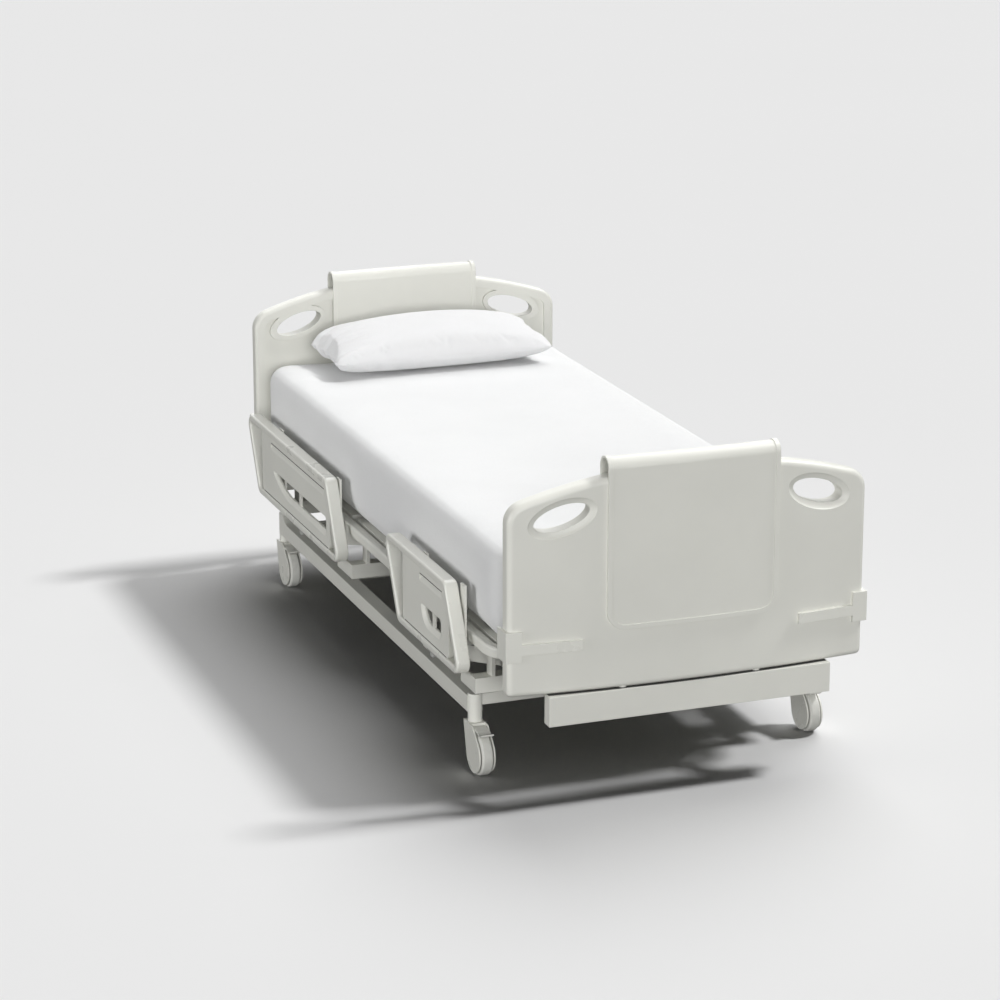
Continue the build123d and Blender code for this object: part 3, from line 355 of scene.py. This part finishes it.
# slot: tone, shade, roughness, grain per metre, grain depth, clear coat
HARD_FINISHES = {
    "frame_paint": (PAINT_TONE, 1.0, 0.36, 900.0, 0.0002, 0.15),
    "panel_paint": (PAINT_TONE, 0.92, 0.42, 900.0, 0.0002, 0.0),
    "board_plastic": (PAINT_TONE, 1.0, 0.40, 1400.0, 0.00015, 0.0),
    "accent_plastic": (PAINT_TONE, 1.01, 0.36, 1400.0, 0.00015, 0.0),
    "bracket_plastic": (PAINT_TONE, 1.04, 0.30, 1200.0, 0.0001, 0.1),
    "motor_plastic": (MOTOR_TONE, 1.0, 0.50, 700.0, 0.0003, 0.0),
    "rail_paint": (PAINT_TONE, 1.03, 0.30, 900.0, 0.0001, 0.25),
    "insert_plastic": (PAINT_TONE, 1.0, 0.38, 1200.0, 0.00015, 0.0),
    "latch_plastic": (LATCH_TONE, 1.0, 0.40, 900.0, 0.0002, 0.0),
    "castor_plastic": (PAINT_TONE, 1.03, 0.30, 1000.0, 0.00015, 0.2),
}
MATERIALS = {
    slot: hard_surface(slot, shaded(tone, shade), roughness, grain, depth, coat=coat)
    for slot, (tone, shade, roughness, grain, depth, coat) in HARD_FINISHES.items()
}
MATERIALS["bright_steel"] = bright_steel("bright_steel")
MATERIALS["mattress_cover"] = woven_cotton("mattress_cover", COVER_TONE, 0.0011, 0.004, 0.06)
MATERIALS["pillow_case"] = woven_cotton("pillow_case", CASE_TONE, 0.0009, 0.006, 0.06)

SLOTS = {entry["node"]: entry["material_slot"] for entry in frame["record"]["subparts"]}
for name, piece in NODES.items():
    slot = SLOTS[name]
    finish = wheel_material(name) if slot == "castor_tread" else MATERIALS[slot]
    piece.data.materials.clear()
    piece.data.materials.append(finish)


# ---------------------------------------------------------------- mesh helpers
def to_object(name, mesh, slot, body=None, smooth=True):
    """A piece of the bed from a mesh, with its material slot and the body it rides on."""
    piece = bpy.data.objects.new(name, mesh)
    bpy.context.scene.collection.objects.link(piece)
    mesh.materials.clear()
    mesh.materials.append(MATERIALS[slot])
    mesh.polygons.foreach_set("use_smooth", [smooth] * len(mesh.polygons))
    if body:
        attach(piece, body)
    return piece


def coordinates(mesh):
    """The places of a mesh's points, one row each."""
    places = np.empty(len(mesh.vertices) * 3)
    mesh.vertices.foreach_get("co", places)
    return places.reshape(-1, 3)


def set_coordinates(mesh, places):
    mesh.vertices.foreach_set("co", np.ascontiguousarray(places).ravel())
    mesh.update()


def applied(piece):
    """A new mesh with the piece's modifiers applied at the present frame."""
    graph = bpy.context.evaluated_depsgraph_get()
    return bpy.data.meshes.new_from_object(piece.evaluated_get(graph))


def remeshed(mesh, voxel):
    """The same form in even square faces, about one voxel wide."""
    piece = bpy.data.objects.new("remesh", mesh)
    bpy.context.scene.collection.objects.link(piece)
    modifier = piece.modifiers.new("voxels", "REMESH")
    modifier.mode = "VOXEL"
    modifier.voxel_size = voxel
    result = applied(piece)
    bpy.data.objects.remove(piece)
    return result


def inflated(mesh, pressure, frames, tension, bending, mass=0.3):
    """The mesh after a short cloth simulation under pressure, with no gravity."""
    piece = bpy.data.objects.new("cloth", mesh)
    bpy.context.scene.collection.objects.link(piece)
    cloth = piece.modifiers.new("cloth", "CLOTH")
    settings = cloth.settings
    settings.quality = 6
    settings.mass = mass
    settings.tension_stiffness = tension
    settings.compression_stiffness = tension
    settings.shear_stiffness = tension / 3
    settings.bending_stiffness = bending
    settings.use_pressure = True
    settings.uniform_pressure_force = pressure
    settings.effector_weights.gravity = 0.0
    settings.air_damping = 2.0
    cloth.collision_settings.use_collision = False
    scene = bpy.context.scene
    for step in range(1, frames + 1):
        scene.frame_set(step)
    result = applied(piece)
    bpy.data.objects.remove(piece)
    scene.frame_set(1)
    return result


def swollen(mesh, cap, **cloth):
    """The places of a mesh's points after it swells, none of them moved further than the cap."""
    before = coordinates(mesh)
    move = coordinates(inflated(mesh, **cloth)) - before
    length = np.linalg.norm(move, axis=1, keepdims=True)
    capped = cap * np.tanh(length / cap)
    return before + move * capped / np.maximum(length, 1e-9)


def subdivided(mesh):
    """The same form with each face split in four and smoothed."""
    piece = bpy.data.objects.new("subdivide", mesh)
    bpy.context.scene.collection.objects.link(piece)
    modifier = piece.modifiers.new("subdivision", "SUBSURF")
    modifier.levels = 1
    modifier.render_levels = 1
    result = applied(piece)
    bpy.data.objects.remove(piece)
    return result


def smooth_step(value, low, high):
    """0 below low and 1 above high, with a soft rise between them."""
    share = np.clip((value - low) / (high - low), 0.0, 1.0)
    return share * share * (3 - 2 * share)


# ---------------------------------------------------------------- mattress
MATTRESS_PARTS = ("mattress_back", "mattress_seat", "mattress_thigh", "mattress_calf")
MATTRESS_VOXEL = 0.012
MATTRESS_CAP = 0.008          # the furthest a point may swell
MATTRESS_DISH = 0.004         # how far the middle of the top lies below its edges
BACK_CUT = 0.08               # between the hinges of the backrest and the thigh rest
THIGH_CUT = -0.22             # between the hinges of the thigh and the calf rest

lows, highs = zip(*(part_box(name) for name in MATTRESS_PARTS))
mattress_low = np.min([list(corner) for corner in lows], axis=0)
mattress_high = np.max([list(corner) for corner in highs], axis=0)


def rounded_block(low, high, corner, top_round, bottom_round):
    """A block with upright corners, then its top and bottom edges, rounded."""
    block = bmesh.new()
    bmesh.ops.create_cube(block, size=1.0)
    for vertex in block.verts:
        vertex.co = Vector([(a + b) / 2 + c * (b - a) for a, b, c in zip(low, high, vertex.co)])
    upright = [edge for edge in block.edges if abs(edge.verts[0].co.z - edge.verts[1].co.z) > 0.01]
    bmesh.ops.bevel(block, geom=upright, offset=corner, segments=8, profile=0.5, affect="EDGES")
    for height, radius in ((high[2], top_round), (low[2], bottom_round)):
        rim = []
        for edge in block.edges:
            level = all(abs(vertex.co.z - height) < 1e-5 for vertex in edge.verts)
            border = any(abs(face.normal.z) < 0.5 for face in edge.link_faces)
            if level and border:
                rim.append(edge)
        bmesh.ops.bevel(block, geom=rim, offset=radius, segments=7, profile=0.5, affect="EDGES")
        block.normal_update()
    mesh = bpy.data.meshes.new("block")
    block.to_mesh(mesh)
    block.free()
    return mesh


def make_mattress():
    """The covered mattress in one piece, swollen by its foam."""
    inset = MATTRESS_CAP
    low = mattress_low + np.array((inset, inset, 0.001))
    high = mattress_high - np.array((inset, inset, inset))
    start = remeshed(rounded_block(low, high, 0.085, 0.038, 0.062), MATTRESS_VOXEL)
    places = swollen(start, MATTRESS_CAP, pressure=4.0, frames=20, tension=25.0, bending=2.0)
    places[:, 2] = np.clip(places[:, 2], mattress_low[2] + 0.0003, None)
    # a slight dish between the edge wires
    across = np.abs(places[:, 0]) / mattress_high[0]
    top = smooth_step(places[:, 2], 0.55, 0.63)
    places[:, 2] -= top * MATTRESS_DISH * (1 - smooth_step(across, 0.55, 0.95))
    set_coordinates(start, places)
    return subdivided(start)


def cut_between(mesh, low, high, name):
    """The part of a mesh between two values of Y, closed again where it was cut."""
    shape = bmesh.new()
    shape.from_mesh(mesh)
    for place, side in ((low, -1), (high, 1)):
        if place is None:
            continue
        geometry = list(shape.verts) + list(shape.edges) + list(shape.faces)
        bmesh.ops.bisect_plane(shape, geom=geometry, dist=1e-6, plane_co=(0, place, 0),
                               plane_no=(0, side, 0), clear_outer=True)
        rim = [edge for edge in shape.edges if edge.is_boundary]
        bmesh.ops.holes_fill(shape, edges=rim, sides=0)
        for edge in rim:
            edge.smooth = False
    piece = bpy.data.meshes.new(name)
    shape.to_mesh(piece)
    shape.free()
    return piece


# name: cut from, cut to, bodies it bends between, Y of the bend's ends, CAD nodes it replaces
MATTRESS_SECTIONS = {
    "mattress_head_part": (
        BACK_CUT, None, ("deck", "backrest"), (0.085, 0.60), ("mattress_back",)),
    "mattress_middle_part": (
        THIGH_CUT, BACK_CUT, ("deck", "thigh_rest"), (0.07, -0.21),
        ("mattress_seat", "mattress_thigh")),
    "mattress_foot_part": (
        None, THIGH_CUT, ("thigh_rest", "calf_rest"), (-0.23, -0.53), ("mattress_calf",)),
}

whole_mattress = make_mattress()
for name, (cut_from, cut_to, bodies, bend, replaced) in MATTRESS_SECTIONS.items():
    section = to_object(name, cut_between(whole_mattress, cut_from, cut_to, name), "mattress_cover")
    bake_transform(section)
    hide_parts(*replaced)


# ---------------------------------------------------------------- pillow
pillow_low, pillow_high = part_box("pillow")
PILLOW_CUT = (0.712, 0.315)   # seam to seam
PILLOW_CROWN = 0.076          # heights above and below the seam before it swells
PILLOW_BELLY = 0.050
PILLOW_CELL = 0.008
PILLOW_VOXEL = 0.0055
PILLOW_CAP = 0.012            # the furthest a point may swell
PILLOW_REST = -0.046          # where the underside flattens, and over what height
PILLOW_GIVE = 0.015
PILLOW_LEAN = 0.022


def pillow_blank():
    """A full, soft-cornered pillow with its seam round the middle."""
    half_x, half_y = PILLOW_CUT[0] / 2, PILLOW_CUT[1] / 2
    across = int(PILLOW_CUT[0] / PILLOW_CELL)
    along = int(PILLOW_CUT[1] / PILLOW_CELL)
    u = np.sin(np.linspace(-pi / 2, pi / 2, across + 1) * 0.999)
    v = np.sin(np.linspace(-pi / 2, pi / 2, along + 1) * 0.999)
    grid_u, grid_v = np.meshgrid(u / u[-1], v / v[-1], indexing="ij")
    # the sides draw in between the corners, and the corners are rounded
    x = half_x * grid_u * (1 - 0.045 * (1 - grid_v**2)) * (1 - 0.050 * grid_v**8 * grid_u**2)
    y = half_y * grid_v * (1 - 0.060 * (1 - grid_u**2)) * (1 - 0.100 * grid_u**8 * grid_v**2)
    crown = ((1 - grid_u**2) ** 0.62) * ((1 - grid_v**2) ** 0.55)
    shape = bmesh.new()
    layers = []
    for sign, height in ((1, PILLOW_CROWN), (-1, PILLOW_BELLY)):
        layer = {}
        for i in range(across + 1):
            for j in range(along + 1):
                border = i in (0, across) or j in (0, along)
                if sign < 0 and border:
                    layer[i, j] = layers[0][i, j]
                else:
                    layer[i, j] = shape.verts.new((x[i, j], y[i, j], sign * height * crown[i, j]))
        layers.append(layer)
        for i in range(across):
            for j in range(along):
                corners = [layer[i, j], layer[i + 1, j], layer[i + 1, j + 1], layer[i, j + 1]]
                shape.faces.new(corners if sign > 0 else corners[::-1])
    mesh = bpy.data.meshes.new("pillow_blank")
    shape.to_mesh(mesh)
    shape.free()
    return remeshed(mesh, PILLOW_VOXEL)


def end_folds(places):
    """Soft folds that run in from the left end and from the corners, as a height."""
    reach = places[:, 0] / (PILLOW_CUT[0] / 2)
    depth = places[:, 1] / (PILLOW_CUT[1] / 2)
    left = smooth_step(-reach, 0.50, 0.92)
    right = smooth_step(reach, 0.66, 0.96)
    waves = np.sin(17.0 * depth + 4.2 * reach) + 0.5 * np.sin(31.0 * depth - 6.0 * reach + 1.3)
    return 0.0042 * left * waves + 0.0022 * right * np.sin(15.0 * depth - 3.0 * reach)


def make_pillow():
    """The filled pillow, set down on the mattress against the head board."""
    start = pillow_blank()
    places = swollen(start, PILLOW_CAP, pressure=4.0, frames=20, tension=14.0, bending=0.5, mass=0.25)
    places[:, 2] += end_folds(places)
    # the underside flattens where it rests
    under = places[:, 2] < PILLOW_REST + PILLOW_GIVE
    sunk = np.exp((places[under, 2] - PILLOW_REST - PILLOW_GIVE) / PILLOW_GIVE)
    places[under, 2] = PILLOW_REST + PILLOW_GIVE * sunk
    # the filling is fuller towards the head board, so the top slopes down to the front
    rear = smooth_step(places[:, 1], -0.05, 0.16)
    upper = smooth_step(places[:, 2], -0.02, 0.05)
    places[:, 2] += PILLOW_LEAN * rear * upper
    low, high = places.min(axis=0), places.max(axis=0)
    centre = (pillow_low + pillow_high) / 2
    places[:, 0] += centre.x - (low[0] + high[0]) / 2
    places[:, 1] += centre.y - (low[1] + high[1]) / 2
    places[:, 2] += pillow_low.z + 0.0005 - low[2]
    set_coordinates(start, places)
    return subdivided(start)


pillow = to_object("pillow_soft", make_pillow(), "pillow_case", "backrest")
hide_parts("pillow")


# ---------------------------------------------------------------- painted shade in the gaps
# painted shade: thin dark strips stand for the shadows in the slot above each grip, the gap under each
# rail insert and the gap where each end beam meets its board
GAP_SHADE_TONE = (0.050, 0.050, 0.048)
GAP_SHADE_MATERIAL = hard_surface("painted_gap_shade", GAP_SHADE_TONE, 0.65, 900.0, 0.0002)
GRIP_SPANS = {"foot": (-0.748, -0.575), "head": (0.236, 0.752)}
GRIP_TOP = 0.465
GRIP_HEIGHT = 0.0034
GRIP_DEPTH = 0.006
SILL_HEIGHT = 0.0016
SILL_DEPTH = 0.008
SILL_INSET = 0.018            # from each end of the insert
STRIP_OFFSET = 0.0008         # a grip strip lies behind the insert's face, a sill strip before it
BOARD_BOW = 4.25              # plan radius of an end board's outer face
BEAM_TOP = 0.289
BEAM_HEIGHT = 0.0009
BEAM_DEPTH = 0.012
BEAM_STEPS = 24


def gap_shade_strip(name, spine, height, depth, body, slot):
    """A thin dark strip of painted shade along a gap: spine is its front lower edge, depth how far it
    runs in.
    """
    shape = bmesh.new()
    rings = []
    inward = Vector(depth)
    for place in spine:
        start = Vector(place)
        top = start + Vector((0, 0, height))
        ring = [start, top, top + inward, start + inward]
        rings.append([shape.verts.new(corner) for corner in ring])
    for first, second in zip(rings, rings[1:]):
        for i in range(4):
            j = (i + 1) % 4
            shape.faces.new((first[i], first[j], second[j], second[i]))
    shape.faces.new(rings[0][::-1])
    shape.faces.new(rings[-1])
    bmesh.ops.recalc_face_normals(shape, faces=shape.faces)
    bmesh.ops.bevel(shape, geom=list(shape.edges), offset=height * 0.15, segments=2, profile=0.5,
                    affect="EDGES")
    mesh = bpy.data.meshes.new(name)
    shape.to_mesh(mesh)
    shape.free()
    piece = to_object(name, mesh, slot, body, smooth=False)
    # the strip is painted shade, in place of the slot's own finish
    mesh.materials[0] = GAP_SHADE_MATERIAL
    return piece


for end in ENDS:
    for side in SIDES:
        insert_low, insert_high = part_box(f"rail_insert_{end}_{side}")
        sign = -1 if side == "left" else 1
        face = insert_low.x if side == "left" else insert_high.x
        body = f"rail_{end}_{side}"
        near, far = GRIP_SPANS[end]
        grip_spine = [(face - sign * STRIP_OFFSET, y, GRIP_TOP - 0.0036)
                      for y in (near + 0.002, far - 0.002)]
        gap_shade_strip(f"grip_gap_shade_{end}_{side}", grip_spine, GRIP_HEIGHT, (-sign * GRIP_DEPTH, 0, 0),
                    body, "insert_plastic")
        sill_spine = [(face + sign * STRIP_OFFSET, y, insert_low.z - 0.0003)
                      for y in (insert_low.y + SILL_INSET, insert_high.y - SILL_INSET)]
        gap_shade_strip(f"sill_gap_shade_{end}_{side}", sill_spine, SILL_HEIGHT, (-sign * SILL_DEPTH, 0, 0),
                    body, "insert_plastic")
    board_low, board_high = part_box(f"{end}_board")
    _, beam_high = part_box(f"{end}_end_beam")
    out = -1 if end == "foot" else 1
    crest = board_low.y if end == "foot" else board_high.y
    beam_spine = []
    for step in range(BEAM_STEPS + 1):
        x = (beam_high.x - 0.004) * (2 * step / BEAM_STEPS - 1)
        bow = BOARD_BOW - (BOARD_BOW**2 - x**2) ** 0.5
        beam_spine.append((x, crest - out * bow + out * 0.001, BEAM_TOP))
    gap_shade_strip(f"{end}_beam_gap_shade", beam_spine, BEAM_HEIGHT, (0, -out * BEAM_DEPTH, 0),
                "deck", "frame_paint")


# ---------------------------------------------------------------- floor
def make_floor():
    """A wide pale floor with a faint unevenness."""
    shape = bmesh.new()
    bmesh.ops.create_grid(shape, x_segments=8, y_segments=8, size=60.0)
    mesh = bpy.data.meshes.new("floor")
    shape.to_mesh(mesh)
    shape.free()
    piece = bpy.data.objects.new("floor", mesh)
    bpy.context.scene.collection.objects.link(piece)
    shader = Shader("studio_floor")
    colour = shader.mix(shader.noise(0.6, detail=2.0), (0.84, 0.84, 0.84), (0.85, 0.85, 0.85))
    path = shader.node("ShaderNodeLightPath")
    seen = shader.mix(path.outputs["Is Camera Ray"], (0.12, 0.12, 0.12), colour)
    shader.set(Base_Color=seen, Roughness=0.9, Specular_IOR_Level=0.1)
    mesh.materials.append(shader.material)
    return piece


make_floor()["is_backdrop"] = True

# ---------------------------------------------------------------- what the fills light
lit = bpy.data.collections.new("lit_by_fills")
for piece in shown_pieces():
    lit.objects.link(piece)
for light in FILLS:
    light.light_linking.receiver_collection = lit
